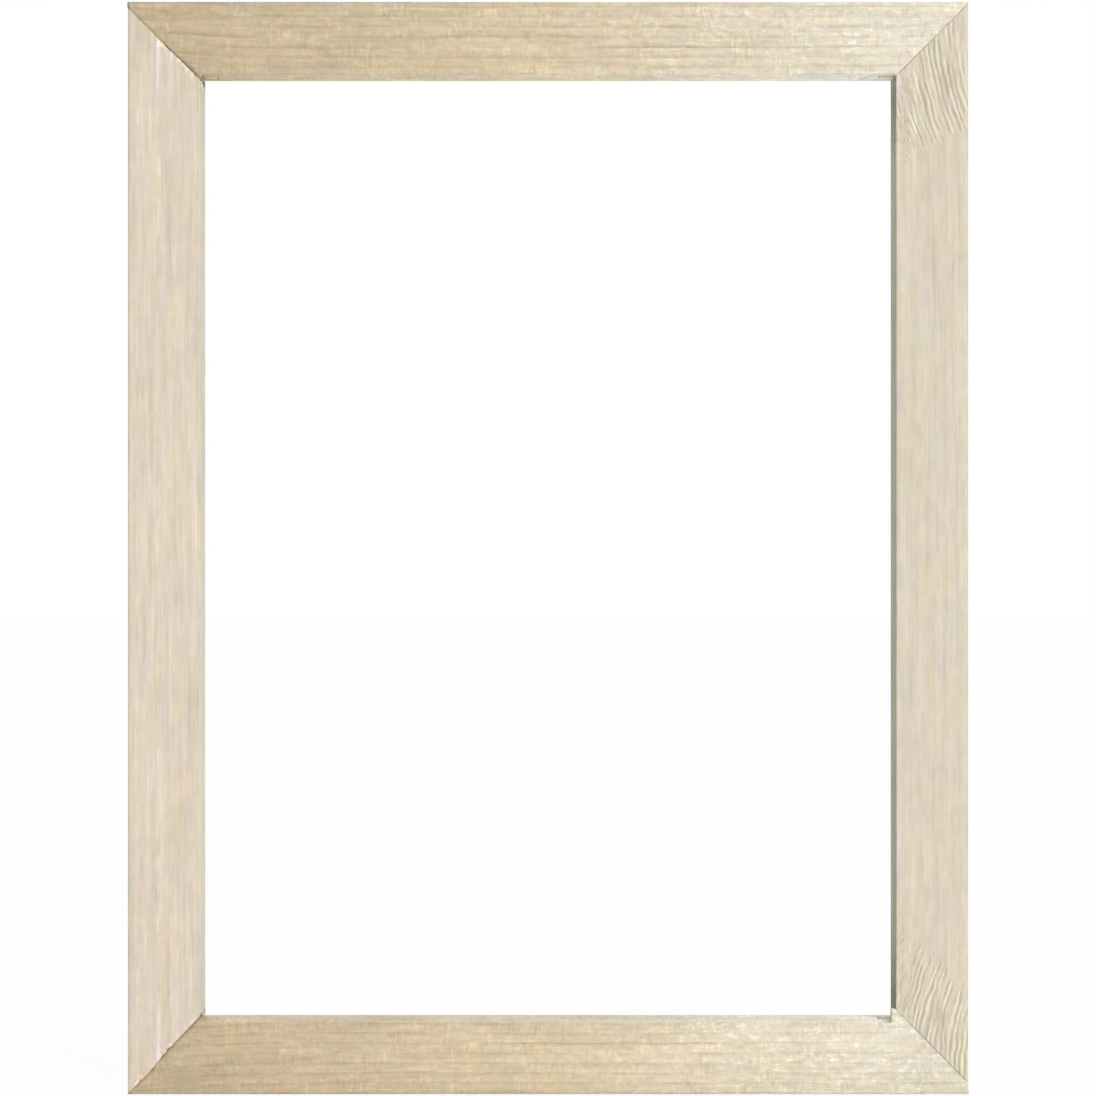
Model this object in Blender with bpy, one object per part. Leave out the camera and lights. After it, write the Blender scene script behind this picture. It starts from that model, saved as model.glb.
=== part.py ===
"""Canvas stretcher frame, 500 by 650 mm, as a kit of four rails and eight corner keys.

Each rail end is a mitred double mortise and tenon. Through the thickness it has a mitred
front cheek, two joint layers and a mitred back cheek. In one layer the end has a tongue as
wide as the rail, and in the other a slot that takes the next rail's tongue. One end has the
tongue in the front layer, the other in the back layer, so every rail fits the next one, a
quarter turn round the frame. Each slot is cut deeper than the tongue it takes, with a sloping
bottom, and a wedge shaped key in that pocket drives the rail outwards and opens the mitre.

Metres, +Z up. The frame stands on its bottom rail, with its front face towards -Y and its
origin at the middle of its foot.
"""

import math

import bmesh
import bpy
from mathutils import Matrix, Vector

# Sizes of the whole frame
FRAME_WIDTH = 0.500
FRAME_HEIGHT = 0.650

# Section of a rail: a flat rim carries the canvas, and inside it the front face falls away
RAIL_WIDTH = 0.043
RAIL_THICKNESS = 0.018
CANVAS_RIM = 0.0050
FACE_FALL = 0.0015
CANVAS_ROUND = 0.0018
OUTER_BACK_ROUND = 0.0010
INNER_ROUND = 0.0008
ARC_STEPS = 5

# Corner joint: cheeks outside, and two equal layers for the tongues between them
FRONT_CHEEK = 0.0050
BACK_CHEEK = 0.0050
FIT_GAP = 0.0003
TONGUE_RECESS = 0.0006
TONGUE_NOSE = 0.0015
SAWN_ARRIS = 0.00025

# Pocket for the key, beyond the tongue: its depth at the outer edge, and its slope
POCKET_TOE = 0.0020
POCKET_SLOPE_SHARE = 1 / 6

# Key
KEY_LENGTH = 0.031
KEY_HEAD_INSET = 0.0005
KEY_HEAD_ROUND = 0.0009
KEY_NOSE_ROUND_SHARE = 0.3
KEY_ARRIS = 0.0003

# How far cutters reach past what they cut
OVERRUN = 0.010

# Places through the thickness
FRONT = -RAIL_THICKNESS / 2
BACK = RAIL_THICKNESS / 2
FRONT_LAYER = FRONT + FRONT_CHEEK
BACK_LAYER = BACK - BACK_CHEEK
BETWEEN_LAYERS = (FRONT_LAYER + BACK_LAYER) / 2

# A tongue, and the key beside it, fills its layer but for the gaps
FRONT_TONGUE = (FRONT_LAYER + FIT_GAP, BETWEEN_LAYERS - FIT_GAP / 2)
BACK_TONGUE = (BETWEEN_LAYERS + FIT_GAP / 2, BACK_LAYER - FIT_GAP)
FRONT_SLOT = (FRONT_LAYER, BETWEEN_LAYERS + FIT_GAP / 2)
BACK_SLOT = (BETWEEN_LAYERS - FIT_GAP / 2, BACK_LAYER)

POCKET_ANGLE = math.atan(POCKET_SLOPE_SHARE)
MITRE_SETBACK = FIT_GAP / 2 * math.sqrt(2)

WELD_DISTANCE = 0.000001
FLAT_ANGLE = math.radians(0.5)
SHARP_ANGLE = math.radians(25)
ROUND_ANGLE = math.radians(40)

# Colours are linear RGB, then roughness
HORIZONTAL_WOOD = ((0.70, 0.58, 0.40), 0.62)
UPRIGHT_WOOD = ((0.75, 0.65, 0.52), 0.60)
KEY_WOOD = ((0.68, 0.54, 0.37), 0.65)


def clear_scene():
    """Remove what a new scene starts with."""
    for thing in list(bpy.data.objects):
        bpy.data.objects.remove(thing, do_unlink=True)


def new_collection(name):
    """A collection of the scene's own."""
    collection = bpy.data.collections.new(name)
    bpy.context.scene.collection.children.link(collection)
    return collection


def wood(name, look):
    """A plain Principled material for one piece."""
    colour, roughness = look
    material = bpy.data.materials.new(name)
    material.use_nodes = True
    shader = material.node_tree.nodes["Principled BSDF"]
    shader.inputs["Base Color"].default_value = (*colour, 1)
    shader.inputs["Roughness"].default_value = roughness
    shader.inputs["Metallic"].default_value = 0
    return material


def rounded_outline(corners):
    """Points of a closed outline. Each corner is (x, y, radius), and a radius makes an arc."""
    points = []
    for index, (x, y, radius) in enumerate(corners):
        corner = Vector((x, y))
        if not radius:
            points.append(corner)
            continue
        back = (Vector(corners[index - 1][:2]) - corner).normalized()
        ahead = (Vector(corners[(index + 1) % len(corners)][:2]) - corner).normalized()
        half_angle = back.angle(ahead) / 2
        centre = corner + (back + ahead).normalized() * radius / math.sin(half_angle)
        first = corner + back * radius / math.tan(half_angle) - centre
        last = corner + ahead * radius / math.tan(half_angle) - centre
        start = math.atan2(first.y, first.x)
        sweep = math.remainder(math.atan2(last.y, last.x) - start, math.tau)
        for step in range(ARC_STEPS + 1):
            angle = start + sweep * step / ARC_STEPS
            points.append(centre + Vector((math.cos(angle), math.sin(angle))) * radius)
    return points


def prism(name, outline, thickness, placement, collection):
    """A flat outline made thick evenly about its plane, then placed, as a mesh object."""
    curve = bpy.data.curves.new(name, "CURVE")
    curve.dimensions = "2D"
    curve.fill_mode = "BOTH"
    curve.extrude = thickness / 2
    spline = curve.splines.new("POLY")
    spline.points.add(len(outline) - 1)
    for point, place in zip(spline.points, outline):
        point.co = (place[0], place[1], 0, 1)
    spline.use_cyclic_u = True
    drawn = bpy.data.objects.new(name + "_curve", curve)
    drawn.matrix_world = placement
    collection.objects.link(drawn)
    bpy.context.view_layer.update()
    solid = mesh_object(name, drawn, collection)
    bpy.data.objects.remove(drawn, do_unlink=True)
    return solid


def mesh_object(name, source, collection):
    """A new object that holds the finished mesh of another, in the same place."""
    evaluated = source.evaluated_get(bpy.context.evaluated_depsgraph_get())
    mesh = bpy.data.meshes.new_from_object(evaluated)
    mesh.name = name
    work = bmesh.new()
    work.from_mesh(mesh)
    bmesh.ops.remove_doubles(work, verts=work.verts, dist=WELD_DISTANCE)
    bmesh.ops.recalc_face_normals(work, faces=work.faces)
    work.to_mesh(mesh)
    work.free()
    solid = bpy.data.objects.new(name, mesh)
    solid.matrix_world = source.matrix_world.copy()
    collection.objects.link(solid)
    bpy.context.view_layer.update()
    return solid


def slab(name, outline, span, collection):
    """An outline drawn in X and Z, filled through the span of Y."""
    placement = Matrix.Translation((0, sum(span) / 2, 0)) @ Matrix.Rotation(math.radians(90), 4, "X")
    return prism(name, outline, span[1] - span[0], placement, collection)


def cutter(name, outline, span, collection):
    """A slab that only cuts."""
    block = slab(name, outline, span, collection)
    block.hide_render = True
    block.display_type = "WIRE"
    return block


def mitre_waste(end):
    """What a mitre takes off: everything beyond the 45 degree line at the end of a rail."""
    line = end - MITRE_SETBACK
    return [
        (line + OVERRUN, -OVERRUN),
        (end + RAIL_WIDTH, -OVERRUN),
        (end + RAIL_WIDTH, RAIL_WIDTH + OVERRUN),
        (line - RAIL_WIDTH - OVERRUN, RAIL_WIDTH + OVERRUN),
    ]


def pocket_floor(end, height):
    """Where the sloping bottom of a slot lies, at a height above the rail's outer edge."""
    return end - RAIL_WIDTH - POCKET_TOE - height * POCKET_SLOPE_SHARE


def slot_waste(end):
    """What a slot takes out, from the end of the rail to the bottom of the key pocket."""
    low = -OVERRUN
    high = RAIL_WIDTH + OVERRUN
    return [
        (pocket_floor(end, low), low),
        (end + RAIL_WIDTH, low),
        (end + RAIL_WIDTH, high),
        (pocket_floor(end, high), high),
    ]


def tongue_waste(end):
    """What squares off the end of a tongue and takes its leading corner away."""
    tip = end - TONGUE_RECESS
    return [
        (tip + RAIL_WIDTH, -OVERRUN),
        (tip + RAIL_WIDTH, RAIL_WIDTH + OVERRUN),
        (tip - TONGUE_NOSE - OVERRUN, RAIL_WIDTH + OVERRUN),
        (tip, RAIL_WIDTH - TONGUE_NOSE),
        (tip, -OVERRUN),
    ]


def mirrored(outline):
    """The same outline at the rail's other end."""
    return [(-x, z) for x, z in reversed(outline)]


def rail_blank(name, length, collection):
    """A length of moulding along X, outer edge at z = 0, before its ends are cut."""
    section = rounded_outline([
        (0, FRONT, CANVAS_ROUND),
        (CANVAS_RIM, FRONT, 0),
        (RAIL_WIDTH, FRONT + FACE_FALL, INNER_ROUND),
        (RAIL_WIDTH, BACK, INNER_ROUND),
        (0, BACK, OUTER_BACK_ROUND),
    ])
    return prism(name, section, length, Matrix.Rotation(math.radians(-90), 4, "Y"), collection)


def cut(solid, outline, span, cutters):
    """Cut one slab out of a solid."""
    waste = cutter(f"{solid.name}_waste_{len(solid.modifiers)}", outline, span, cutters)
    modifier = solid.modifiers.new(waste.name, "BOOLEAN")
    modifier.operation = "DIFFERENCE"
    modifier.solver = "EXACT"
    modifier.object = waste


def cut_front_tongue(blank, end, cutters):
    """The head of a rail: a tongue in the front layer and a slot in the back layer."""
    cut(blank, mitre_waste(end), (FRONT - OVERRUN, FRONT_TONGUE[0]), cutters)
    cut(blank, slot_waste(end), BACK_SLOT, cutters)
    cut(blank, mitre_waste(end), (BETWEEN_LAYERS, BACK + OVERRUN), cutters)
    cut(blank, tongue_waste(end), (FRONT_TONGUE[0], BETWEEN_LAYERS + FIT_GAP), cutters)


def cut_back_tongue(blank, end, cutters):
    """The foot of a rail, at -X: a tongue in the back layer and a slot in the front layer."""
    cut(blank, mirrored(mitre_waste(end)), (BACK_TONGUE[1], BACK + OVERRUN), cutters)
    cut(blank, mirrored(slot_waste(end)), FRONT_SLOT, cutters)
    cut(blank, mirrored(mitre_waste(end)), (FRONT - OVERRUN, BETWEEN_LAYERS), cutters)
    cut(blank, mirrored(tongue_waste(end)), (BETWEEN_LAYERS - FIT_GAP, BACK_TONGUE[1]), cutters)


def ease_arrises(solid, width):
    """Take the sharpness off every convex edge that a saw or a plane left."""
    work = bmesh.new()
    work.from_mesh(solid.data)
    bmesh.ops.dissolve_limit(
        work, angle_limit=FLAT_ANGLE, verts=work.verts, edges=work.edges, delimit={"NORMAL"}
    )
    sharp = [
        edge for edge in work.edges
        if edge.is_manifold and edge.is_convex and edge.calc_face_angle() > SHARP_ANGLE
    ]
    bmesh.ops.bevel(
        work, geom=sharp, offset=width, offset_type="OFFSET", segments=1, affect="EDGES", clamp_overlap=True
    )
    bmesh.ops.recalc_face_normals(work, faces=work.faces)
    work.to_mesh(solid.data)
    work.free()


def finish_piece(piece, look):
    """Give a piece its wood, and shade its rounded edges smooth."""
    piece.data.shade_smooth()
    piece.data.set_sharp_from_angle(angle=ROUND_ANGLE)
    piece.data.materials.append(wood(piece.name + "_wood", look))


def make_rail(name, length, placement, look, parts, cutters):
    """One rail with both its ends cut, set in its place in the frame."""
    blank = rail_blank(name + "_blank", length, cutters)
    cut_front_tongue(blank, length / 2, cutters)
    cut_back_tongue(blank, length / 2, cutters)
    bpy.context.view_layer.update()
    rail = mesh_object(name, blank, parts)
    bpy.data.objects.remove(blank, do_unlink=True)
    rail.data.transform(rail.matrix_world)
    rail.matrix_world = placement
    ease_arrises(rail, SAWN_ARRIS)
    finish_piece(rail, look)
    return rail


def key_outline(end):
    """A wedge with one straight side, along the tongue, and one on the pocket's slope."""
    along_tongue = end - RAIL_WIDTH - FIT_GAP
    slope_gap = FIT_GAP / math.cos(POCKET_ANGLE)
    head = RAIL_WIDTH - KEY_HEAD_INSET
    nose = head - KEY_LENGTH
    along_slope_at_head = pocket_floor(end, head) + slope_gap
    along_slope_at_nose = pocket_floor(end, nose) + slope_gap
    nose_round = (along_tongue - along_slope_at_nose) * KEY_NOSE_ROUND_SHARE
    return rounded_outline([
        (along_tongue, head, KEY_HEAD_ROUND),
        (along_slope_at_head, head, KEY_HEAD_ROUND),
        (along_slope_at_nose, nose, nose_round),
        (along_tongue, nose, nose_round),
    ])


def make_key(name, length, at_head, placement, parts):
    """A key in its pocket, at the head or the foot of the rail that it drives."""
    outline = key_outline(length / 2)
    span = BACK_TONGUE
    origin = Vector((pocket_floor(length / 2, RAIL_WIDTH), sum(BACK_TONGUE) / 2, RAIL_WIDTH))
    if not at_head:
        outline = mirrored(outline)
        span = FRONT_TONGUE
        origin = Vector((-origin.x, sum(FRONT_TONGUE) / 2, origin.z))
    key = slab(name, outline, span, parts)
    key.data.transform(Matrix.Translation(-origin) @ key.matrix_world)
    key.matrix_world = placement @ Matrix.Translation(origin)
    ease_arrises(key, KEY_ARRIS)
    finish_piece(key, KEY_WOOD)
    return key


def carry(piece, carrier):
    """Parent a piece without moving it."""
    piece.parent = carrier
    piece.matrix_parent_inverse = carrier.matrix_world.inverted()


def turned(degrees, across, height):
    """A place in the frame's middle plane, and a turn round the Y axis there."""
    return Matrix.Translation((across, 0, height)) @ Matrix.Rotation(math.radians(degrees), 4, "Y")


def corner_slide(name, placement, carrier, parts):
    """An empty on the middle of a mitre. Its X axis points the way in which the mitre opens."""
    slide = bpy.data.objects.new(name, None)
    slide.empty_display_type = "ARROWS"
    slide.empty_display_size = RAIL_WIDTH / 2
    slide.matrix_world = placement
    parts.objects.link(slide)
    bpy.context.view_layer.update()
    carry(slide, carrier)
    return slide


def build():
    """Make the four rails and their keys, and set them on what carries them."""
    clear_scene()
    parts = new_collection("canvas_stretcher_frame")
    cutters = new_collection("cutters")
    half_width = FRAME_WIDTH / 2
    half_height = FRAME_HEIGHT / 2
    layout = [
        ("bottom", FRAME_WIDTH, turned(0, 0, 0), HORIZONTAL_WOOD, "right", "left"),
        ("right", FRAME_HEIGHT, turned(-90, half_width, half_height), UPRIGHT_WOOD, "top", "bottom"),
        ("top", FRAME_WIDTH, turned(180, 0, FRAME_HEIGHT), HORIZONTAL_WOOD, "left", "right"),
        ("left", FRAME_HEIGHT, turned(90, -half_width, half_height), UPRIGHT_WOOD, "bottom", "top"),
    ]
    rails = {}
    for side, length, placement, look, head_side, foot_side in layout:
        rail = make_rail(side + "_rail", length, placement, look, parts, cutters)
        bpy.context.view_layer.update()
        for at_head, corner in ((True, head_side), (False, foot_side)):
            key = make_key(f"{side}_rail_{corner}_key", length, at_head, placement, parts)
            carry(key, rail)
        rails[side] = rail

    # Every mitre opens at 45 degrees: the uprights outwards and up, and the top rail straight up
    mitre_across = half_width - RAIL_WIDTH / 2
    low = RAIL_WIDTH / 2
    high = FRAME_HEIGHT - RAIL_WIDTH / 2
    slides = [
        ("left", "bottom", "bottom_left_slide", turned(-135, -mitre_across, low)),
        ("right", "bottom", "bottom_right_slide", turned(-45, mitre_across, low)),
        ("top", "left", "top_left_slide", turned(-45, -mitre_across, high)),
    ]
    for moved, carrier, name, placement in slides:
        carry(rails[moved], corner_slide(name, placement, rails[carrier], parts))
        bpy.context.view_layer.update()


build()
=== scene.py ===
# %% [markdown]
# # A canvas stretcher frame in bare softwood
#
# A painter's stretcher frame is four planed rails that meet in mitres, with wedges in their
# corners. There is no paint and no varnish on it, so nearly everything that the eye enjoys is in
# the wood: the lines of the growth rings, the fine fibres, and small differences between rails.
# The construction is already modelled. This lesson gives it a camera, light and wood.

# %% Load the construction
import math
import random

import bmesh
import bpy
import numpy as np
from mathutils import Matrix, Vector


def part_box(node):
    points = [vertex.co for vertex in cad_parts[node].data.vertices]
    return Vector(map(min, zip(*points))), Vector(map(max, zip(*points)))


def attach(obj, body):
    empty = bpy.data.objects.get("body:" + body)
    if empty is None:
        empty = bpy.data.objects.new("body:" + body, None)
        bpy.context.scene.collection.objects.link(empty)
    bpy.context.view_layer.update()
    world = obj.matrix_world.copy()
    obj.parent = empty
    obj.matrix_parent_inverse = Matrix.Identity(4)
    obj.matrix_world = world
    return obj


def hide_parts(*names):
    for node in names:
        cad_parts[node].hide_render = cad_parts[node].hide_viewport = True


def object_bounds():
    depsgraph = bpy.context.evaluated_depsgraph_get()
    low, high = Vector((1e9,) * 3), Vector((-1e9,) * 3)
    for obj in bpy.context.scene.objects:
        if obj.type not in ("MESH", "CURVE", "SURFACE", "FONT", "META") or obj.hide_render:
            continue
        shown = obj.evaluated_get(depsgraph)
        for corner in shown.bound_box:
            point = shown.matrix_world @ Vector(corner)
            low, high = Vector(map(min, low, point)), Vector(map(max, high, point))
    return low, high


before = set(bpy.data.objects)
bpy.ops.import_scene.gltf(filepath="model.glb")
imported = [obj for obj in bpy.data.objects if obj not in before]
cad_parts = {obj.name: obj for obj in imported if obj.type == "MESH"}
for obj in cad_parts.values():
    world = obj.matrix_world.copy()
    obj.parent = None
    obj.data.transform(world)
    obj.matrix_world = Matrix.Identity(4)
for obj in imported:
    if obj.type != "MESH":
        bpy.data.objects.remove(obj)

cad_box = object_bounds()
print("rails and keys:", ", ".join(sorted(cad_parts)))
print("their box:", [[round(value, 4) for value in corner] for corner in cad_box])

# %% [markdown]
# ## Sizes that the looks need
#
# The frame stands on its bottom rail, and its front looks toward -Y, where the camera will be.
# The sizes below are read from the construction and not typed in, so the looks follow them.

# %% Read the sizes
MM = 0.001
frame_low = Vector(cad_box[0])
frame_high = Vector(cad_box[1])
frame_width = frame_high.x - frame_low.x
frame_height = frame_high.z - frame_low.z
front = frame_low.y
thickness = frame_high.y - frame_low.y
left_low, left_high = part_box("left_rail")
RAIL_MM = (left_high[0] - left_low[0]) / MM
print(f"frame {frame_width / MM:.0f} by {frame_height / MM:.0f} mm, "
      f"rails {RAIL_MM:.0f} by {thickness / MM:.0f} mm")

# %% [markdown]
# ## The camera
#
# The picture looks straight at the middle of the frame: its four rails run level and upright,
# and the back edges of the opening lie evenly inside the front ones. How far inside gives the
# distance, about a metre. A camera further off with a longer lens would hide the inner sides.
# The outline that the eye measures is the rails' flat outer edge, which starts a little behind
# the rounded front, so the lens is set for that depth and not for the front.

# %% Place the camera
IMAGE_PIXELS = 1096
OUTLINE_TOP_PIXEL = 1.9
OUTLINE_FOOT_PIXEL = 1094.0
OUTLINE_DEPTH = 0.0018
CAMERA_DISTANCE = 1.05
SENSOR = 36.0

metres_per_pixel = frame_height / (OUTLINE_FOOT_PIXEL - OUTLINE_TOP_PIXEL)
picture_width = metres_per_pixel * IMAGE_PIXELS
camera_data = bpy.data.cameras.new("camera")
camera_data.sensor_width = SENSOR
camera_data.lens = SENSOR * (CAMERA_DISTANCE + OUTLINE_DEPTH) / picture_width
camera = bpy.data.objects.new("camera", camera_data)
camera.location = (0, front - CAMERA_DISTANCE, frame_height / 2)
camera.rotation_euler = (math.radians(90), 0, 0)
bpy.context.scene.collection.objects.link(camera)
bpy.context.scene.camera = camera
print(f"lens {camera_data.lens:.1f} mm, {metres_per_pixel / MM:.3f} mm to a pixel")

# %% [markdown]
# ## Python that writes shader nodes
#
# A wood shader is mostly arithmetic: distances, waves, masks. Drawn by hand it is a carpet of
# Math nodes. Here a socket is wrapped in a small class whose operators add those nodes, so that
# `1 - mask` or `lines * 0.4` can be read as what they mean. Colours go through Vector Math nodes,
# since a Math node would turn them grey.

# %% The socket class
class Socket:
    """One output of a node. Arithmetic on it adds Math nodes to its tree."""

    def __init__(self, graph, output):
        self.graph = graph
        self.output = output

    def math(self, operation, *others):
        return self.graph.add("Math", {"operation": operation}, dict(enumerate((self, *others))))

    def flipped(self, operation, first):
        return self.graph.add("Math", {"operation": operation}, {0: first, 1: self})

    def __add__(self, other):
        return self.math("ADD", other)

    __radd__ = __add__

    def __sub__(self, other):
        return self.math("SUBTRACT", other)

    def __rsub__(self, other):
        return self.flipped("SUBTRACT", other)

    def __mul__(self, other):
        return self.math("MULTIPLY", other)

    __rmul__ = __mul__

    def __truediv__(self, other):
        return self.math("DIVIDE", other)

    def __neg__(self):
        return self.math("MULTIPLY", -1)

    def __abs__(self):
        return self.math("ABSOLUTE")

    def __pow__(self, other):
        return self.math("POWER", other)

    def step(self, low, high):
        """0 at low, 1 at high, and a soft ramp between. The two may be given in either order."""
        inputs = {"Value": self, "From Min": low, "From Max": high}
        return self.graph.add("MapRange", {"interpolation_type": "SMOOTHSTEP"}, inputs)


# %% The graph class
class Graph:
    """The node tree of a material or a world, with one method that adds any node."""

    def __init__(self, owner):
        owner.use_nodes = True
        self.owner = owner
        self.tree = owner.node_tree

    def add(self, kind, settings=None, inputs=None, output=0):
        """Add a node: its settings first, then a value or a link for each named socket."""
        node = self.tree.nodes.new("ShaderNode" + kind)
        for name, value in (settings or {}).items():
            if name == "stops":
                self.set_stops(node.color_ramp.elements, value)
            else:
                setattr(node, name, value)
        for name, value in (inputs or {}).items():
            self.plug(value, node.inputs[name])
        return Socket(self, node.outputs[output])

    def plug(self, value, socket):
        """Link a wrapped socket, or write a plain value."""
        if isinstance(value, Socket):
            self.tree.links.new(value.output, socket)
        else:
            socket.default_value = value

    def set_stops(self, elements, stops):
        """Give a colour ramp its stops, each a position and a colour."""
        while len(elements) < len(stops):
            elements.new(1)
        for element, (position, colour) in zip(elements, stops):
            element.position = position
            element.color = (*colour, 1)

    def finish(self, node, values):
        """Fill the sockets of a node that the tree came with."""
        for name, value in values.items():
            self.plug(value, self.tree.nodes[node].inputs[name])

    def vector(self, x, y, z):
        """Three values as one vector."""
        return self.add("CombineXYZ", None, {0: x, 1: y, 2: z})

    def split(self, vector):
        """The three values of a vector."""
        first = self.add("SeparateXYZ", None, {0: vector})
        return [Socket(self, output) for output in first.output.node.outputs]

    def noise(self, place, detail=1.5):
        """Smooth noise around 0 that spreads about 1 each way."""
        inputs = {"Vector": place, "Scale": 1, "Detail": detail, "Roughness": 0.5}
        return (self.add("TexNoise", None, inputs) - 0.5) * 8

    def shade(self, colour, amount, change):
        """Move a colour: where amount is 1, each channel grows by its share in change."""
        moved = self.add("VectorMath", {"operation": "SCALE"}, {"Vector": change, "Scale": amount})
        return self.add("VectorMath", {"operation": "MULTIPLY_ADD"}, {0: colour, 1: moved, 2: colour})


def srgb(red, green, blue):
    """A colour as read from a picture, 0 to 255, as the linear values that shaders use."""
    return tuple(((value / 255 + 0.055) / 1.055) ** 2.4 for value in (red, green, blue))


print("one tan as linear light:", [round(value, 3) for value in srgb(218, 200, 169)])

# %% [markdown]
# ## A pale room
#
# The picture has a plain white ground and no shadow worth the name. A white card would do that,
# but the frame should still stand somewhere, so there is a real floor that takes its shadow. To
# the camera, and in reflections, that floor is mostly an even white, and only a small share of
# its shading comes through. For the light that bounces off it, it is an ordinary pale floor.

# %% Floor and sky
FLOOR_SIZE = 14.0
FLOOR_TONE = (0.95, 0.95, 0.95, 1)
FLOOR_ROUGHNESS = 0.9
WHITE = (1, 1, 1, 1)
WHITE_STRENGTH = 1.0
WHITE_SHARE = 0.93
AMBIENT = 0.09


def seen_directly(graph):
    """1 for rays from the camera or off a shiny or clear surface, and 0 for bounced light."""
    rays = graph.add("LightPath")
    outputs = rays.output.node.outputs
    camera_ray = Socket(graph, outputs["Is Camera Ray"])
    mirrored_ray = Socket(graph, outputs["Is Glossy Ray"])
    through_ray = Socket(graph, outputs["Is Transmission Ray"])
    return camera_ray.math("MAXIMUM", mirrored_ray).math("MAXIMUM", through_ray)


paint = Graph(bpy.data.materials.new("pale_floor"))
paint.finish("Principled BSDF", {
    "Base Color": FLOOR_TONE, "Roughness": FLOOR_ROUGHNESS, "Specular IOR Level": 0.0,
})
shaded_floor = Socket(paint, paint.tree.nodes["Principled BSDF"].outputs[0])
white_floor = paint.add("Emission", None, {"Color": WHITE, "Strength": WHITE_STRENGTH})
whiteness = seen_directly(paint) * WHITE_SHARE
two_floors = paint.add("MixShader", None, {0: whiteness, 1: shaded_floor, 2: white_floor})
paint.finish("Material Output", {"Surface": two_floors})

bpy.ops.mesh.primitive_plane_add(size=FLOOR_SIZE, location=(0, 0, frame_low.z))
floor = bpy.context.object
floor.name = "floor"
floor.data.materials.append(paint.owner)

sky = Graph(bpy.data.worlds.new("sky"))
bpy.context.scene.world = sky.owner
dim_sky = sky.add("Background", None, {"Color": WHITE, "Strength": AMBIENT})
white_sky = sky.add("Background", None, {"Color": WHITE, "Strength": WHITE_STRENGTH})
two_skies = sky.add("MixShader", None, {0: seen_directly(sky), 1: dim_sky, 2: white_sky})
sky.finish("World Output", {"Surface": two_skies})
print("floor", FLOOR_SIZE, "m across, ambient light", AMBIENT)

# %% [markdown]
# ## Light
#
# The right rail's inner side is the darkest thing in the picture, about half as bright as its
# front. The left rail's inner side and the two level ones are about as bright as the front. So
# most light comes from the right, over the camera's shoulder, and the undersides get theirs back
# from a white floor. Both lamps are suns with a wide disc: they light the left and the right rail
# alike, as a lamp at arm's length would not, and their shadows have soft edges.

# %% Two suns
# For each sun: the direction that it lies in, its strength, and the width of its disc in degrees.
SUNS = {
    "shoulder_sun": ((0.664, -0.664, 0.344), 0.82, 25),
    "floor_sun": ((0, 0.35, 0.94), 0.60, 30),
}

for name, (towards, strength, disc_width) in SUNS.items():
    lamp = bpy.data.lights.new(name, "SUN")
    lamp.energy = strength * math.pi
    lamp.angle = math.radians(disc_width)
    thing = bpy.data.objects.new(name, lamp)
    thing.rotation_euler = Vector(towards).to_track_quat("Z", "Y").to_euler()
    bpy.context.scene.collection.objects.link(thing)

# The colours in this lesson are screen colours, and Standard shows them as they are.
bpy.context.scene.view_settings.view_transform = "Standard"
print("suns:", ", ".join(SUNS))

# %% [markdown]
# ## Where a point is in its rail
#
# Figure follows the board, not the room. So both the shapes and the shaders below speak of a
# point by three distances in millimetres: along the rail from its middle, across it from its
# outer edge, and down into it from the front. From these follow the distance to the rail's end
# and to its mitre, the 45 degree cut.

# %% Rail directions
# For each rail: the axis along it, the axis across it, its outer edge, and the way inwards.
RAIL_SIDES = {
    "bottom_rail": ("x", "z", frame_low.z, 1),
    "top_rail": ("x", "z", frame_high.z, -1),
    "left_rail": ("z", "x", frame_low.x, 1),
    "right_rail": ("z", "x", frame_high.x, -1),
}
RAIL_MIDDLE = {"x": 0, "z": frame_height / 2}
RAIL_LENGTH = {"x": frame_width / MM, "z": frame_height / MM}


def axis_vector(axis, size):
    """A vector along one axis."""
    return Vector((size if axis == "x" else 0, 0, size if axis == "z" else 0))


def corner_name(rail, end):
    """The frame's corner at a rail's end, which is -1 or 1 along its axis."""
    side = rail.split("_")[0]
    if side in ("top", "bottom"):
        return side + ("_left" if end < 0 else "_right")
    return ("bottom_" if end < 0 else "top_") + side


for rail in RAIL_SIDES:
    print(rail, "runs between", corner_name(rail, -1), "and", corner_name(rail, 1))

# %% [markdown]
# ## Mitres cut by hand
#
# On paper the four mitres are alike. In the picture they are not: the level rails' front cheeks
# reach past the true mitre, by one millimetre at the top right and by seven at the bottom right.
# On the right the joints are closed so tightly that only a faint line shows. On the left a fine
# gap opens inwards, and the saw has torn small chips from the left rail's edges. The table holds,
# for each corner, distances across the rail and how far the level rail reaches past its mitre
# there, measured along its length. At its inner end, the part that reaches too far stands out
# into the opening as a small spur, so that the joint line runs on straight.

# %% How the mitres fit
MISFIT = {
    "top_left": ((0, 3.6), (20, 3.6), (43, 2.7)),
    "bottom_left": ((0, 0), (12, 0), (20, 1.8), (43, 3.0)),
    "top_right": ((0, 1.0), (43, 1.0)),
    "bottom_right": ((0, 6.8), (43, 7.4)),
}
UPRIGHTS = ("left_rail", "right_rail")
# In mm: how wide a joint gapes at its inner end, and how far each of its two cheeks is pushed
# into it, so that no light shows through.
OPENING_AT_INNER_END = {"left": 0.40, "right": 0.0}
TIGHTENING = {"left": 0.30, "right": 0.17}


def cheek_reach(rail, end, across):
    """How far a rail's front cheek reaches past its true mitre, along the rail."""
    corner = corner_name(rail, end)
    side = corner.split("_")[1]
    reach = float(np.interp(across, *zip(*MISFIT[corner])))
    if rail in UPRIGHTS:
        return TIGHTENING[side] - reach - OPENING_AT_INNER_END[side] * across / RAIL_MM
    return TIGHTENING[side] + reach


middle_reach = cheek_reach("top_rail", -1, RAIL_MM / 2)
print(f"in its middle the top left mitre is off by {middle_reach:.1f} mm")

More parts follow.
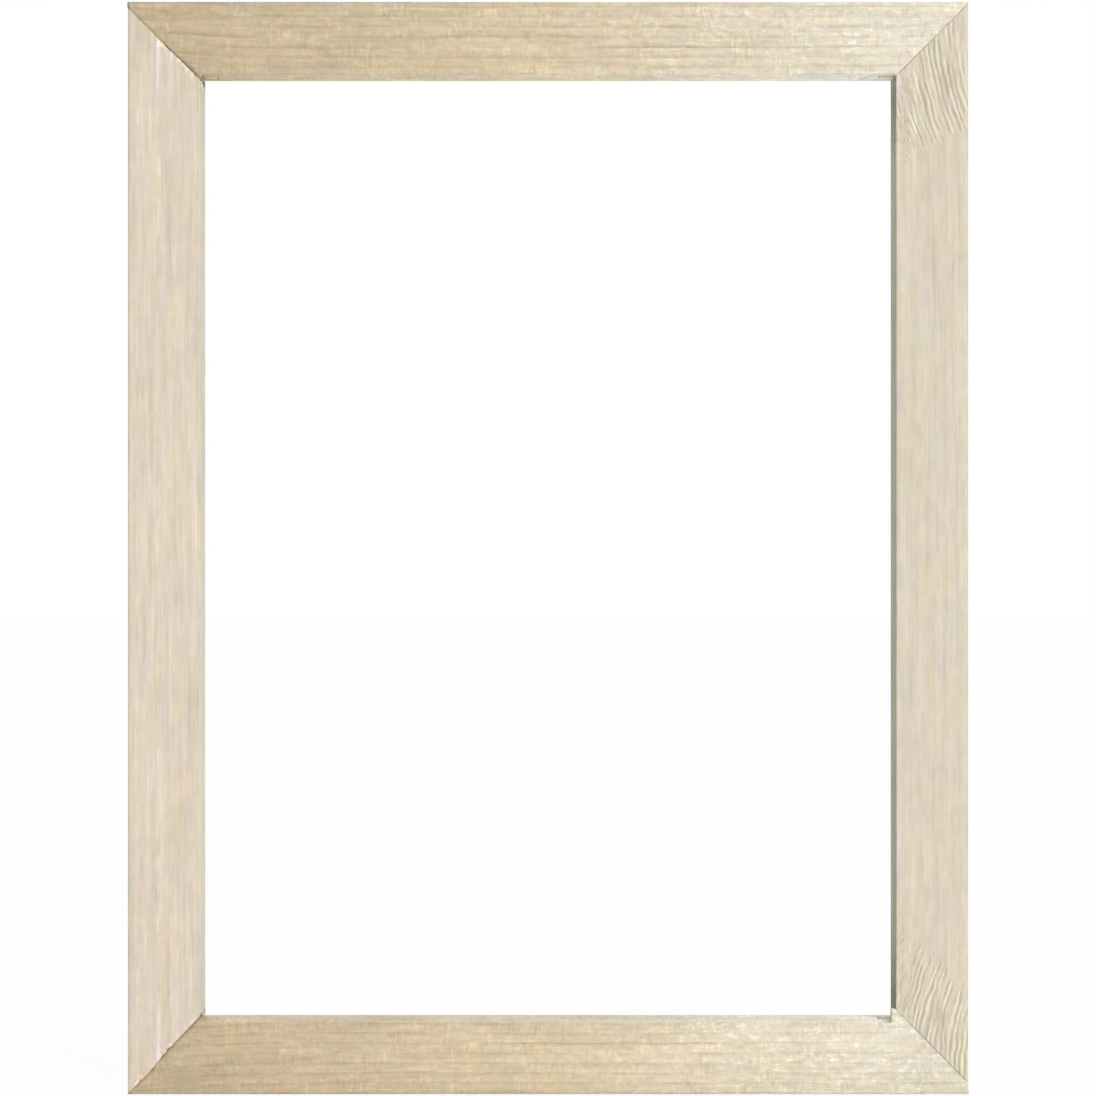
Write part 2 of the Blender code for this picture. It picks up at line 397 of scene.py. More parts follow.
# %% [markdown]
# ## Tools for worked edges
#
# Chips and misfits are shape, so they are made in the mesh. Each piece starts as a copy of the
# modelled one, with its triangles joined to large flat faces. Along a mitre, a strip of the
# front is cut off by one plane and divided by many short planes square to the mitre, at uneven
# steps. That gives the edge points to move: along the rail for the misfit, and back and down for
# a chip. A level rail's inner side is divided too, around its spur. Everything behind the front
# cheek, with its tongues and slots, stays as it was built.

# %% Copies
WELD = 0.000002
FLAT_ANGLE = math.radians(0.5)
SHARP_ANGLE = math.radians(24)


def copied_piece(node):
    """A mesh to work on, with a modelled piece's triangles joined to flat faces."""
    work = bmesh.new()
    work.from_mesh(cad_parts[node].data)
    bmesh.ops.remove_doubles(work, verts=work.verts, dist=WELD)
    bmesh.ops.dissolve_limit(work, angle_limit=FLAT_ANGLE, verts=work.verts, edges=work.edges)
    return work


def finished_piece(work, node):
    """An object that stands for a modelled piece: rounds look smooth, and flat faces stay flat."""
    bmesh.ops.dissolve_degenerate(work, edges=work.edges, dist=WELD)
    open_edges = sum(not edge.is_manifold for edge in work.edges)
    mesh = bpy.data.meshes.new(node + "_wood")
    work.to_mesh(mesh)
    work.free()
    mesh.shade_smooth()
    mesh.set_sharp_from_angle(angle=SHARP_ANGLE)
    piece = bpy.data.objects.new(node + "_wood", mesh)
    bpy.context.scene.collection.objects.link(piece)
    piece.modifiers.new("flat_faces_stay_flat", "WEIGHTED_NORMAL").keep_sharp = True
    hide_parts(node)
    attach(piece, node)
    print(piece.name, len(mesh.polygons), "faces,", open_edges, "open edges")
    return piece


print("faces are joined up to", round(math.degrees(FLAT_ANGLE), 2), "degrees apart")

# %% Rail ends
CUT_ACCURACY = WELD / 10


class RailEnd:
    """One end of a rail: its directions, and distances from it in millimetres."""

    def __init__(self, work, rail, end):
        long_axis, cross_axis, outer_edge, inward = RAIL_SIDES[rail]
        self.work = work
        self.rail = rail
        self.end = end
        self.outward = axis_vector(long_axis, end)
        self.inward = axis_vector(cross_axis, inward)
        middle = axis_vector(long_axis, RAIL_MIDDLE[long_axis]) + axis_vector(cross_axis, outer_edge)
        self.tip = middle + self.outward * RAIL_LENGTH[long_axis] / 2 * MM + Vector((0, front, 0))

    def distances(self, point):
        """From the end, across the rail, down from the front, and from the mitre."""
        offset = (point - self.tip) / MM
        from_end = -offset.dot(self.outward)
        across = offset.dot(self.inward)
        return from_end, across, offset.y, (from_end - across) / math.sqrt(2)

    def point(self, from_end, across, depth=0):
        """The point at these distances."""
        offset = self.inward * across - self.outward * from_end + Vector((0, depth, 0))
        return self.tip + offset * MM

    def cut(self, zone, point, normal):
        """Divide the faces that lie in a zone, by a plane through a point."""
        faces = [
            face for face in self.work.faces
            if all(zone(*self.distances(vertex.co)) for vertex in face.verts)
        ]
        vertices = [vertex for face in faces for vertex in face.verts]
        edges = [edge for face in faces for edge in face.edges]
        geometry = list(dict.fromkeys([*vertices, *edges, *faces]))
        bmesh.ops.bisect_plane(
            self.work, geom=geometry, dist=CUT_ACCURACY, plane_co=point, plane_no=normal,
        )


print(f"planes cut to {CUT_ACCURACY / MM:.4f} mm")

# %% Divide a mitre
# All in mm: how wide the strip beside a mitre is, and how deep the front with its rounds and the
# front cheek are. Then a spur: its depth and width, how far each of its walls leans, and where
# the root of it starts.
STRIP = 6.0
SLACK = 0.01
FRONT_DEPTH = 2.7
CHEEK_DEPTH = 5.45
INNER_ZONE = 1.0
STEP_RANGE = (0.45, 1.15)
SPUR_DEPTH = 5.2
SPUR_WIDTH = {"top_left": 0.6, "bottom_left": 0.6, "top_right": 0.6, "bottom_right": 2.7}
SPUR_WALL = 0.2
SPUR_ROOT = (0.10, 0.25)


def on_front(from_end, across, depth, mitre):
    """Whether a point is on the front or in a round beside it."""
    return depth < FRONT_DEPTH


def in_strip(from_end, across, depth, mitre):
    """Whether a point is in the front cheek and close to the mitre."""
    return depth < CHEEK_DEPTH and abs(mitre) < STRIP + SLACK


def on_inner_side(from_end, across, depth, mitre):
    """Whether a point is on the side that looks into the opening."""
    return across > RAIL_MM - INNER_ZONE


def divide_spur(place):
    """Cut a level rail where its spur starts and ends, twice each, so that it has short walls."""
    spur_end = RAIL_MM + SPUR_WIDTH[corner_name(place.rail, place.end)]
    for from_end in (spur_end, spur_end - SPUR_WALL):
        for zone in (in_strip, on_inner_side):
            place.cut(zone, place.point(from_end, RAIL_MM), place.outward)
    for from_end in SPUR_ROOT:
        place.cut(on_inner_side, place.point(RAIL_MM + from_end, RAIL_MM), place.outward)
    for depth in (SPUR_DEPTH - SPUR_WALL / 2, SPUR_DEPTH + SPUR_WALL / 2):
        place.cut(on_inner_side, place.point(RAIL_MM, RAIL_MM, depth), Vector((0, 1, 0)))


def divide_mitre(place, dice):
    """Cut the strip along a mitre into uneven steps, and return the places of the cuts."""
    place.cut(on_front, place.point(STRIP * math.sqrt(2), 0), -place.outward - place.inward)
    if place.rail not in UPRIGHTS:
        divide_spur(place)
    cuts = []
    across = STEP_RANGE[0]
    while across < RAIL_MM - STEP_RANGE[0]:
        place.cut(in_strip, place.point(across, across), place.inward - place.outward)
        cuts.append(across)
        across += dice.uniform(*STEP_RANGE)
    return cuts


print("steps along a mitre, in mm:", STEP_RANGE)

# %% Chips
# For each corner, zones along the mitre in mm: where each starts and ends, and its largest chip.
CHIPPED = {
    "top_left": ((6, 20, 0.6), (22, 41, 1.5)),
    "bottom_left": ((5.5, 12, 1.9), (20, 26, 2.3), (27, 41, 0.9)),
}
LARGEST_NICK = 0.25
SMALLEST_CHIP_SHARE = 0.15
SOUND_MARGIN = 2.5
CHIP_DEPTH_SHARE = 0.8


def chip_sizes(place, cuts, dice):
    """A chip width for each cut: large ones in the left rail's zones, and only nicks elsewhere."""
    corner = corner_name(place.rail, place.end)
    zones = CHIPPED[corner] if place.rail == "left_rail" else ()
    sizes = []
    for across in cuts:
        largest = max([size for start, end, size in zones if start < across < end], default=LARGEST_NICK)
        inside = SOUND_MARGIN < across < RAIL_MM - SOUND_MARGIN
        sizes.append(dice.uniform(SMALLEST_CHIP_SHARE, 1) * largest if inside else 0)
    return sizes


print("chipped corners:", ", ".join(CHIPPED))

# %% Rails with worked edges
# All in mm: the edge points lie this close to the mitre, those of the sawn wall closer than those
# of the arris, and no point moves nearer to the rail's end than the margin.
EDGE_ZONE = 0.6
SAWN_WALL = 0.23
END_MARGIN = 0.02


def move_mitre(place, cuts, sizes):
    """Move the points along a mitre for its misfit and its chips, less and less over the strip."""
    into_wood = -(place.outward + place.inward) / math.sqrt(2)
    spur_start = RAIL_MM + sum(SPUR_ROOT) / 2
    spur_end = RAIL_MM + SPUR_WIDTH[corner_name(place.rail, place.end)] - SPUR_WALL / 2
    for vertex in place.work.verts:
        from_end, across, depth, mitre = place.distances(vertex.co)
        reach = min(cheek_reach(place.rail, place.end, across), from_end - END_MARGIN)

        # The end of a level rail's inner side moves into the opening, which makes the spur.
        inner_edge = across > RAIL_MM - INNER_ZONE and depth < SPUR_DEPTH and mitre > -EDGE_ZONE
        if inner_edge and place.rail not in UPRIGHTS:
            at_mitre = mitre < EDGE_ZONE and from_end < across + EDGE_ZONE
            if at_mitre or spur_start < from_end < spur_end:
                vertex.co += place.inward * reach * MM
            continue

        # The rest of the cheek moves along the rail: all the way at the mitre, and not at all
        # where the strip ends.
        in_front = depth < FRONT_DEPTH
        if depth > CHEEK_DEPTH or abs(mitre) > (STRIP if in_front else EDGE_ZONE):
            continue
        share = float(np.interp(abs(mitre), (EDGE_ZONE, STRIP), (1, 0)))
        vertex.co += place.outward * reach * share * MM
        if not in_front or abs(mitre) > EDGE_ZONE:
            continue

        # A chip takes the arris back into the wood, and the top of the sawn wall down.
        chip = float(np.interp((from_end + across) / 2, cuts, sizes))
        if mitre > SAWN_WALL:
            vertex.co += into_wood * chip * MM
        else:
            vertex.co.y += chip * CHIP_DEPTH_SHARE * MM


def worked_rail(rail):
    """A copy of a rail with its mitres as they really fit."""
    # The four names differ in length, so each rail has steps and chips of its own.
    dice = random.Random(len(rail))
    work = copied_piece(rail)
    for end in (-1, 1):
        place = RailEnd(work, rail, end)
        cuts = divide_mitre(place, dice)
        move_mitre(place, cuts, chip_sizes(place, cuts, dice))
    return finished_piece(work, rail)


rails = {rail: worked_rail(rail) for rail in RAIL_SIDES}

# %% [markdown]
# ## Keys that fill their slots
#
# The modelled keys have room in their slots for a sure fit. A real key is planed until it just
# slides, and no dark seam shows beside it, so the visible keys are a little thicker, and their
# heads lie flush with the rail's inner side.

# %% Fitted keys
KEY_GROWTH = 0.24
HEAD_ZONE = 3.0
HEAD_GROWTH = 0.45


def rail_of(key_node):
    """The rail whose slot a key lies in."""
    return key_node.split("_rail_")[0] + "_rail"


def fitted_key(node):
    """A copy of a key that fills the thickness and the mouth of its slot."""
    long_axis, cross_axis, outer_edge, inward = RAIL_SIDES[rail_of(node)]
    cross = "xyz".index(cross_axis)
    low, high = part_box(node)
    middle = (low[1] + high[1]) / 2
    growth = 1 + 2 * KEY_GROWTH * MM / (high[1] - low[1])
    work = copied_piece(node)
    for vertex in work.verts:
        vertex.co.y = middle + (vertex.co.y - middle) * growth
        across = (vertex.co[cross] - outer_edge) * inward / MM
        if across > RAIL_MM - HEAD_ZONE:
            vertex.co[cross] += inward * HEAD_GROWTH * MM
    return finished_piece(work, node)


keys = {node: fitted_key(node) for node in sorted(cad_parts) if node.endswith("_key")}

# %% [markdown]
# ## Board coordinates in a shader
#
# The shader needs the same distances as the shapes, so this class builds them from nodes. The
# figure it makes is a solid one: the same growth lines show on the face, as bands on the edges
# and as dots on sawn ends. One more coordinate belongs to the grain and not to the board, because
# grain may run out at a slant: marks follow the grain, and joints follow the board.

# %% Board coordinates
# A colour ramp holds values up to 1, so a misfit is divided by more than the largest one.
MISFIT_SCALE = 8.0
# Ramps, each from where it is 0 to where it is 1.
END_FACING = (0.45, 0.62)
INNER_FACING = (0.75, 0.95)
ARRIS_ACROSS = (1.8, 0.4)
ARRIS_DEPTH = (3.2, 1.9)


class Board:
    """Coordinates of one rail's wood in millimetres, and the marks that run with its grain."""

    def __init__(self, graph, rail, seed):
        long_axis, cross_axis, outer_edge, inward = RAIL_SIDES[rail]
        place = dict(zip("xyz", graph.split(graph.add("TexCoord", output=3))))
        facing = dict(zip("xyz", graph.split(graph.add("TexCoord", output=1))))
        self.graph = graph
        self.rail = rail
        self.seed = seed
        self.length = RAIL_LENGTH[long_axis]
        self.along = (place[long_axis] - RAIL_MIDDLE[long_axis]) / MM
        self.across = (place[cross_axis] - outer_edge) * (inward / MM)
        self.depth = (place["y"] - front) / MM
        self.grain = self.across
        self.from_end = self.length / 2 - abs(self.along)
        self.end_facing = abs(facing[long_axis]).step(*END_FACING)
        self.inner_facing = (facing[cross_axis] * inward).step(*INNER_FACING)
        self.outer_arris = self.across.step(*ARRIS_ACROSS) * self.depth.step(*ARRIS_DEPTH)

    def mitre_distance(self, end):
        """The distance from the mitre at one end, with its misfit, on this rail's side of it."""
        ideal = self.length / 2 - self.along * end - self.across
        misfit = MISFIT[corner_name(self.rail, end)]
        stops = [(across / RAIL_MM, [reach / MISFIT_SCALE] * 3) for across, reach in misfit]
        reach = self.graph.add("ValToRGB", {"stops": stops}, {0: self.across / RAIL_MM}) * MISFIT_SCALE
        return (ideal - reach if self.rail in UPRIGHTS else ideal + reach) / math.sqrt(2)

    def nearest_mitre(self):
        """The distance from the nearer of the two mitres."""
        return self.mitre_distance(-1).math("MINIMUM", self.mitre_distance(1))

    def marks(self, length, width, number, detail=1.5):
        """Noise around 0 that spreads about 1 each way, in marks of this length and width."""
        return self.figure(self.along / length, self.grain / width + number, self.depth / width, detail)

    def figure(self, first, second, third, detail):
        """The same noise on coordinates of a figure's own."""
        return self.graph.noise(self.graph.vector(first + self.seed, second, third), detail)


print("rails", round(RAIL_MM), "mm wide, in coordinates of their own")

# %% [markdown]
# ## Marks that wood has
#
# Softwood looks the way it grew. A ring starts as wide pale spring wood, darkens, and ends in a
# thin brown summer line with a sharp outer side, and beside it lies a pale lip, which is a
# painted highlight. Fine lines and fibres run between them. Short pale strokes across the grain
# are rays, and cream spots are where the plane has lifted the fibres. Each function below returns
# a mask, 1 where the mark is, so that a rail's finish is made by listing marks and how much each
# one changes the colour. A mark is given by its length and width in millimetres, and by a number
# that sets its noise apart from that of other marks.

# %% Growth lines
PITH_DISTANCE = 150
# Rings are counted from here, and each reads its strength this far from the one before.
FIRST_RING = 100
RING_SHIFT = 3.7
# Within a ring, from 0 to 1: the summer line darkens and ends, and the lip, a painted highlight, starts
# the next ring.
LINE_DARKENS = (0.58, 0.84)
LINE_ENDS = (1.0, 0.92)
LIP_HIGHLIGHT_STARTS = (0.0, 0.04)
LIP_HIGHLIGHT_ENDS = (0.22, 0.10)


def growth_lines(board, spacing, first, pith_depth):
    """Thin summer lines a spacing apart, one at a given distance from the edge, and a pale painted
    highlight beside each.
    """
    sway = board.marks(190, 45, 1.7) * 0.5 + board.marks(26, 9, 4.1) * 0.14
    rise = ((board.grain + PITH_DISTANCE) ** 2 + (board.depth - pith_depth) ** 2) ** 0.5
    rings = (rise - PITH_DISTANCE + sway - first) / spacing + FIRST_RING
    phase = rings.math("FRACT")
    shift = rings.math("FLOOR") * RING_SHIFT
    strength = board.figure(board.along / 34 + shift, shift, 0, 2).step(-1.2, 0.9)
    line = phase.step(*LINE_DARKENS) * phase.step(*LINE_ENDS)
    lip_highlight = phase.step(*LIP_HIGHLIGHT_STARTS) * phase.step(*LIP_HIGHLIGHT_ENDS)
    return line * strength, lip_highlight * strength


print("a summer line takes", round(100 * (LINE_ENDS[0] - LINE_DARKENS[0])), "percent of its ring")

# %% Fine lines, rays and flecks
RAY_WIDTH = 2.0
RAY_LENGTH = 7.0
FLECK_LENGTH = 4.4
FLECK_WIDTH = 2.2


def fine_lines(board, length, width, number, sharpness=0.28):
    """Thin wavy lines where a drawn-out noise crosses its middle, broken along their length."""
    line = abs(board.marks(length, width, number, detail=1)).step(sharpness, 0.02)
    return line * board.marks(length / 3, width * 1.5, number + 3, detail=0).step(-0.4, 0.8)


def rays(board, number):
    """Short strokes across the grain, in loose groups."""
    groups = board.marks(20, 12, number + 0.5, detail=0).step(-0.3, 0.8) * 0.9 + 0.1
    return board.marks(RAY_WIDTH, RAY_LENGTH, number, detail=0).step(0.4, 1.2) * groups


def flecks(board, number, groups):
    """Cream spots where the surface is woolly."""
    return board.marks(FLECK_LENGTH, FLECK_WIDTH, number, detail=2).step(0.3, 1.1) * groups


print("a ray is", RAY_LENGTH, "mm long across the grain and", RAY_WIDTH, "mm wide")

# %% [markdown]
# ## How a mark changes the colour
#
# A mark rarely has one colour of its own: it makes the wood under it a little darker, pinker or
# creamier. So a change is written as the share by which red, green and blue move. One level is
# the smallest step that a screen shows on pale wood.

# %% Changes
ONE_LEVEL = (0.0115, 0.0115, 0.0115)
PINKER = (0.010, -0.010, -0.008)
YELLOWER = (0.002, 0.004, -0.022)
SUMMER_BROWN = (-0.125, -0.150, -0.20)
CREAM = (0.10, 0.125, 0.17)
# Pale torn wood with painted highlight on it, for the chips along the left mitres.
TORN_CREAM_AND_HIGHLIGHT = (0.10, 0.115, 0.12)
# Painted shade in the torn spots beside the chips.
PAINTED_TORN_SHADE = (-0.15, -0.18, -0.26)
RED_BROWN = (-0.05, -0.13, -0.19)
JOINT_BROWN = (-0.55, -0.58, -0.64)
JOINT_GREEN = (-0.20, -0.15, -0.20)
BLUNT_GREY = (-0.40, -0.33, -0.22)
# Painted shade: the uprights' inner sides are darker near their ends, greenish on the left rail and grey
# on the right.
PAINTED_SHADE_GREEN = (-0.12, -0.06, -0.08)
PAINTED_SHADE_GREY = (-0.54, -0.55, -0.57)
END_GRAIN = (-0.16, -0.22, -0.32)
# Painted light and shade on the rounded outer arrises: lighter on the left and bottom rails, darker and
# greyer on the top and right ones.
OUTER_ARRIS_LIGHT_AND_SHADE = {
    "top_rail": (-0.40, -0.25, -0.10),
    "bottom_rail": (-0.02, 0.16, 0.40),
    "left_rail": (0.38, 0.50, 0.52),
    "right_rail": (-0.27, -0.22, -0.17),
}
# Painted light and shade on the inner sides: the top rail's underside lighter, the uprights' inner sides
# darker, the bottom rail's a little bluer.
INNER_SIDE_LIGHT_AND_SHADE = {
    "top_rail": (0.13, 0.17, 0.24),
    "bottom_rail": (-0.03, 0.03, 0.12),
    "left_rail": (-0.12, -0.07, -0.05),
    "right_rail": (-0.16, -0.09, -0.09),
}


def layered(graph, colour, layers):
    """Apply each mark's change in turn."""
    for amount, change in layers:
        colour = graph.shade(colour, amount, change)
    return colour


RELIEF_STRENGTH = 0.6
RELIEF_DEPTH = 0.0001
ROUGHNESS = 0.62
SHINE = 0.04
SPECULAR = 0.3


def wood_surface(graph, colour, height, shine):
    """Colour, a fine relief and an uneven dull shine on the material's own shader."""
    relief = {"Strength": RELIEF_STRENGTH, "Distance": RELIEF_DEPTH, "Height": height}
    graph.finish("Principled BSDF", {
        "Base Color": colour,
        "Roughness": ROUGHNESS - shine * SHINE,
        "Normal": graph.add("Bump", None, relief),
        "Specular IOR Level": SPECULAR,
    })
    return graph.owner


print("a summer line takes away", round(-100 * SUMMER_BROWN[2]), "percent of the blue")

# %% [markdown]
# ## The two level rails
#
# The top and the bottom rail are tan on the left and cream on the right, with fine, slightly wavy
# brown lines along them, which run out at a slant near the left end. Pale rays cross the lines,
# and the cream end is mottled. Where they meet the left rail, the joint line is brown and grows
# wider inwards. On the right, the joint is tight and its line is only a faint grey green.

# %% Level rails
# The colour from the left end, 0, to the right end, 1.
LEVEL_TONES = [(0.08, srgb(200, 181, 150)), (0.5, srgb(217, 200, 169)), (0.90, srgb(232, 223, 203))]
GRAIN_SLANT = 0.105
SLANT_LENGTH = 100.0
RING_SPACING = 5.7
RING_RISE = 2.3
PITH_DEPTH = 26
# One line is stronger than the rest: its distance across, and where it starts and ends along.
STRONG_LINE = {"top_rail": (27.0, 25, 195), "bottom_rail": (30.5, -20, 95)}
LINE_FADE = 8
# The left joint: its width at the outer edge, how it widens inwards, where it turns darker, and
# the place of a broad nick. A tight joint: how strong its line is.
JOINT_WIDTH = 1.3
JOINT_WIDENING = 0.014
DARK_JOINT = {"top_rail": (30, 38), "bottom_rail": (24, 34)}
JOINT_NICK = {"top_rail": 39.0, "bottom_rail": 15.0}
TIGHT_JOINT = 0.55


def slanted_grain(board):
    """The place across the grain, which runs out at a slant near the left end."""
    run = (board.along + board.length / 2).math("MINIMUM", SLANT_LENGTH)
    return board.across + ((run - SLANT_LENGTH) ** 2) * (GRAIN_SLANT / 2 / SLANT_LENGTH)


def strong_line(board):
    """The one growth line that is stronger than the rest, over a part of the rail."""
    place, start, end = STRONG_LINE[board.rail]
    line = abs(board.grain + board.marks(60, 20, 8.1) * 0.25 - place).step(0.9, 0.25)
    started = board.along.step(start - LINE_FADE, start + LINE_FADE)
    not_ended = board.along.step(end + LINE_FADE, end - LINE_FADE)
    return line * started * not_ended


def brown_joint(board):
    """The line of the open joint at the left end."""
    nick = abs(board.across - JOINT_NICK[board.rail]).step(2.2, 0.6)
    width = board.across * JOINT_WIDENING + nick + JOINT_WIDTH
    darkness = board.across.step(*DARK_JOINT[board.rail]) * 0.15 + nick * 0.25 + 0.40
    return board.mitre_distance(-1).step(width, 0.5) * darkness


def tight_joint(board, line):
    """The line of a closed joint: faint, and uneven along its length."""
    uneven = board.marks(3, 3, 6.2).step(-0.9, 0.5) * 0.6 + 0.4
    return line * uneven * TIGHT_JOINT


def level_rail(rail, seed):
    """The wood of the top or the bottom rail."""
    graph = Graph(bpy.data.materials.new(rail + "_softwood"))
    board = Board(graph, rail, seed)
    board.grain = slanted_grain(board)
    rightness = board.along / board.length + 0.5
    colour = graph.add("ValToRGB", {"stops": LEVEL_TONES}, {0: rightness})
    lines, lip_highlights = growth_lines(board, RING_SPACING, STRONG_LINE[rail][0] + RING_RISE, PITH_DEPTH)
    fine = board.marks(6, 0.8, 2.3)
    right_mitre = board.mitre_distance(1)
    torn = right_mitre.step(7, 1) * board.marks(2.6, 1.4, 10.4, detail=2).step(0.3, 1.0)
    woolly = flecks(board, 8.8, rightness.step(0.45, 0.75) * board.marks(26, 10, 9.4).step(-0.6, 0.6))
    # The painted shade on the top rail's outer arris fades out toward the right.
    arris_fade = rightness.step(0.6, 0.3) * 0.85 + 0.15 if rail == "top_rail" else 1
    blunt_end = rightness.step(0.004, 0.001) * board.across.step(5.0, 3.8)
    colour = layered(graph, colour, [
        (board.marks(80, 5.0, 8.3) * 3.6 + board.marks(16, 3.4, 5.2) * 3.2 + fine * 1.3, ONE_LEVEL),
        (board.marks(5.0, 3.2, 3.7) * 3.4 + board.marks(2.0, 1.5, 7.9) * 1.8, ONE_LEVEL),
        (lines * 0.85 + strong_line(board) * 0.9, SUMMER_BROWN),
        # The pale lips beside the summer lines are painted highlight.
        (lip_highlights * 0.4 + rays(board, 5.5) * 0.80 + woolly * 1.6 + torn, CREAM),
        (fine_lines(board, 60, 1.8, 7.3) * 0.38 + rays(board, 15.5) * 0.60, SUMMER_BROWN),
        (fine_lines(board, 9, 1.2, 12.7, 0.2) * 0.75, RED_BROWN),
        (board.marks(14, 4, 3.9, detail=1), PINKER),
        (board.marks(20, 6, 2.8, detail=0) * 0.7, YELLOWER),
        # Painted light and shade on the outer arris, and further down on the inner side.
        (board.outer_arris * arris_fade, OUTER_ARRIS_LIGHT_AND_SHADE[rail]),
        (blunt_end, BLUNT_GREY),
        (board.inner_facing, INNER_SIDE_LIGHT_AND_SHADE[rail]),
        (brown_joint(board), JOINT_BROWN),
        (tight_joint(board, right_mitre.step(1.1, 0.25)), JOINT_GREEN),
        (board.end_facing, END_GRAIN),
    ])
    return wood_surface(graph, colour, fine * 0.3 - lines * 0.6, lines - fine)


print("growth lines on the level rails are", RING_SPACING, "mm apart")

# %% [markdown]
# ## The two uprights
# The left and the right rail are a pinkish beige with straight, soft streaks, quieter than the
# level rails. The left one has thin pale streaks near its middle and pale chips along both its
# mitres, with painted highlight on the chips and painted shade in torn spots beside them. The
# right one was sawn close to a knot at both its ends: there the grain swings across the face in
# curved tan and cream streaks, and it fades out in a ragged edge a hand's breadth down. Near its
# ends the left rail's inner side is covered by the level rails' cheeks, which reach too far, so
# there it takes their colour. The inner sides of both uprights are darker near their ends, which
# is painted shade.

# %% What the uprights share
UPRIGHT_LINE = 90


def upright_layers(board, streakiness):
    """What both uprights share: streaks, patches, and painted light and shade on their arrises and inner
    sides.
    """
    fine = board.marks(30, 0.8, 2.3)
    streaks = board.marks(110, 4.5, 1.1) * 3.2 + board.marks(50, 2.2, 5.2) * 2.8
    layers = [
        (streaks * streakiness + fine * 1.2, ONE_LEVEL),
        (board.marks(16, 5, 6.6) * 2.4 + board.marks(8, 2.4, 4.9) * 1.8, ONE_LEVEL),
        (fine_lines(board, UPRIGHT_LINE, 2.2, 7.3) * 0.25, SUMMER_BROWN),
        (board.marks(34, 9, 3.9, detail=0) * 0.6 - 0.15, PINKER),
        (board.marks(40, 6, 2.8, detail=0) * 1.1, YELLOWER),
        # Painted light and shade on the outer arris and on the inner side.
        (board.outer_arris, OUTER_ARRIS_LIGHT_AND_SHADE[board.rail]),
        (board.inner_facing, INNER_SIDE_LIGHT_AND_SHADE[board.rail]),
        (board.end_facing, END_GRAIN),
    ]
    return fine, layers


print("fine lines on the uprights are", UPRIGHT_LINE, "mm long")

# %% Left rail
LEFT_BEIGE = srgb(221, 207, 188)
LEVEL_TAN = (-0.14, -0.17, -0.28)
# Each streak: its place across, half its width, its noise, and how far from an end it is whole.
PALE_STREAKS = ((18.4, 1.00, 3.3, 60), (25.5, 0.45, 6.1, 0), (6.0, 0.40, 8.7, 0))
STREAK_FADE = 15
# The front is level over the rim, and then falls this much for each millimetre inwards.
RIM = 5
FRONT_FALL = 1.5 / 37.2


def pale_streaks(board):
    """Thin pale lines along the rail, stronger near its ends."""
    streaks = 0
    for place, width, number, whole_end in PALE_STREAKS:
        distance = abs(board.across + board.marks(80, 60, number) * 0.3 - place)
        broken = board.marks(16, 30, number + 1).step(-0.1, 0.9)
        shown = broken.math("MAXIMUM", board.from_end.step(whole_end, whole_end - STREAK_FADE))
        streaks = distance.step(width + 0.35, width * 0.3) * shown + streaks
    return streaks * (board.from_end.step(150, 60) * 0.6 + 0.4)


def torn_edges(board, from_mitre):
    """Pale torn wood in the chips along the mitres with painted highlight on it, spots of painted
    highlight beside them, and torn spots darkened with painted shade.
    """
    sunk = board.depth - (board.across - RIM) * FRONT_FALL
    chip_zone = from_mitre.step(5.0, 3.4) * board.across.step(3, 6) * board.across.step(42, 41)
    chips = chip_zone * sunk.step(0.10, 0.45) * sunk.step(3.0, 2.0)
    clumps = board.marks(14, 12, 6.3, detail=0).step(-0.7, 0.2)
    highlight_specks = from_mitre.step(5.5, 1.2) * board.marks(4.2, 3.0, 9.1, detail=2).step(0.0, 0.7) * clumps
    torn = from_mitre.step(4.6, 1.0) * board.marks(3.4, 2.6, 13.1, detail=2).step(0.5, 1.1) * clumps
    return (chips * 2.0).math("MAXIMUM", highlight_specks * 2.6), torn * 0.8


def covered_ends(board):
    """Where level cheeks cover the ends of the inner side, and the seam along their edge."""
    covered = 0
    seam = 0
    for end in (-1, 1):
        reach = MISFIT[corner_name(board.rail, end)][-1][1]
        past_joint = board.along * end - board.length / 2 + RAIL_MM + reach
        covered = past_joint.step(-0.2, 0.1) + covered
        seam = abs(past_joint + 0.4).step(1.2, 0.5) + seam
    inner_side = board.across.step(RAIL_MM - 0.5, RAIL_MM - 0.1)
    return inner_side * covered, inner_side * seam


def left_rail(seed):
    """The wood of the left rail."""
    graph = Graph(bpy.data.materials.new("left_rail_softwood"))
    board = Board(graph, "left_rail", seed)
    fine, layers = upright_layers(board, 1.0)
    from_mitre = board.nearest_mitre()
    chips, torn = torn_edges(board, from_mitre)
    # Painted shade that takes the highlight off the left rail's inner arris.
    inner_arris_painted_shade = board.across.step(RAIL_MM - 1.8, RAIL_MM - 0.8) * (1 - board.inner_facing)
    covered, seam = covered_ends(board)
    colour = layered(graph, LEFT_BEIGE, layers + [
        (pale_streaks(board) * 1.6, CREAM),
        # Chips: pale torn wood with painted highlight. Torn spots: painted shade.
        (chips, TORN_CREAM_AND_HIGHLIGHT),
        (torn, PAINTED_TORN_SHADE),
        (inner_arris_painted_shade * -11, ONE_LEVEL),
        (from_mitre.step(0.75, 0.15) * 0.3, JOINT_BROWN),
        # Painted shade on the inner side near both ends.
        (board.inner_facing * board.from_end.step(110, 60), PAINTED_SHADE_GREEN),
        (covered, LEVEL_TAN),
        (seam, JOINT_BROWN),
    ])
    return wood_surface(graph, colour, fine * 0.3, -fine)


print("pale streaks on the left rail:", len(PALE_STREAKS))

# %% Right rail
RIGHT_BEIGE = srgb(222, 210, 190)
KNOT_TAN = (-0.17, -0.20, -0.29)
WAVE_SPACING = 3.1
# How far from the end the figure reaches at the outer edge, and how much further inwards.
TOP_REACH = (75, 0.5)
BOTTOM_REACH = (62, 0.9)
RAGGEDNESS = 5


